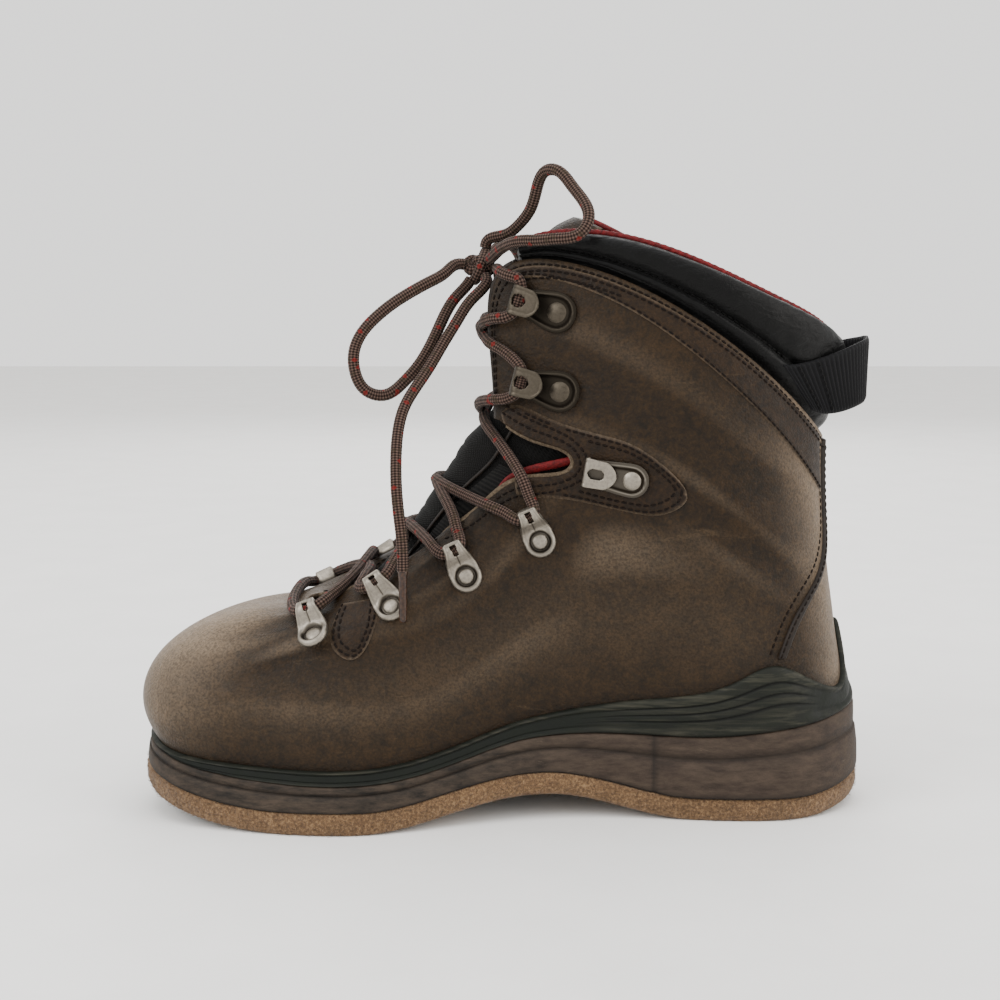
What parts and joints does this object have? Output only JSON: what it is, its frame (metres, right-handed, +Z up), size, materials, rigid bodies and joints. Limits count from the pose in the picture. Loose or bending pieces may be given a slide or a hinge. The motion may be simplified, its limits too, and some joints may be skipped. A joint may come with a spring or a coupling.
{
  "type": "wading boot",
  "caption": "Right wading boot: waxed brown leather, felt sole, rubber rand, padded black collar, metal lace rings and hooks, tied lace.",
  "frame": {"origin": "middle of the boot's length and width, on the floor under the felt sole", "axes": "+X from toe to heel, +Y to the lateral side, +Z up the shaft"},
  "size_m": [0.3193, 0.1234, 0.278],
  "materials": {
    "felt": "dense wool felt, fuzzy",
    "block_rubber": "dusty, matte",
    "rand_rubber": "matte, scuffed",
    "lining": "knitted lining",
    "leather": "waxed, mottled, low sheen",
    "dark_leather": "waxed, low sheen",
    "padding": "smooth coated foam",
    "red_piping": "woven edge binding",
    "tongue_cloth": "woven nylon",
    "webbing": "ribbed webbing",
    "pewter": "antiqued nickel, satin",
    "lace": "round braid, brown with red flecks",
    "aglet": "brown heat-shrunk tip"
  },
  "bodies": {
    "root": {"felt_outsole": "felt", "midsole": "block_rubber", "rand": "rand_rubber", "insole": "lining", "upper": "leather", "collar_band_medial": "dark_leather", "collar_band_lateral": "dark_leather", "ankle_patch_medial": "dark_leather", "ankle_patch_lateral": "dark_leather", "vamp_tab_medial": "dark_leather", "vamp_tab_lateral": "dark_leather", "heel_seam_medial": "dark_leather", "heel_seam_lateral": "dark_leather", "collar_pad": "padding", "collar_piping": "red_piping", "tongue": "tongue_cloth", "tongue_facing": "leather", "tongue_piping": "red_piping", "pull_loop": "webbing", "lace_ring_1_medial": "pewter", "lace_ring_2_medial": "pewter", "lace_ring_3_medial": "pewter", "lace_ring_4_medial": "pewter", "lace_ring_1_lateral": "pewter", "lace_ring_2_lateral": "pewter", "lace_ring_3_lateral": "pewter", "lace_ring_4_lateral": "pewter", "ankle_lock_medial": "pewter", "ankle_lock_lateral": "pewter", "speed_hook_1_medial": "pewter", "speed_hook_2_medial": "pewter", "speed_hook_1_lateral": "pewter", "speed_hook_2_lateral": "pewter", "lace_bar": "lace", "lace_cross_1": "lace", "lace_cross_2": "lace", "lace_cross_3": "lace", "lace_cross_4": "lace", "lace_cross_5": "lace", "lace_cross_6": "lace", "lace_knot": "lace", "lace_loop_large": "lace", "lace_loop_small": "lace", "lace_end_near": "lace", "lace_end_far": "lace", "lace_aglet_near": "aglet", "lace_aglet_far": "aglet"}
  },
  "joints": []
}
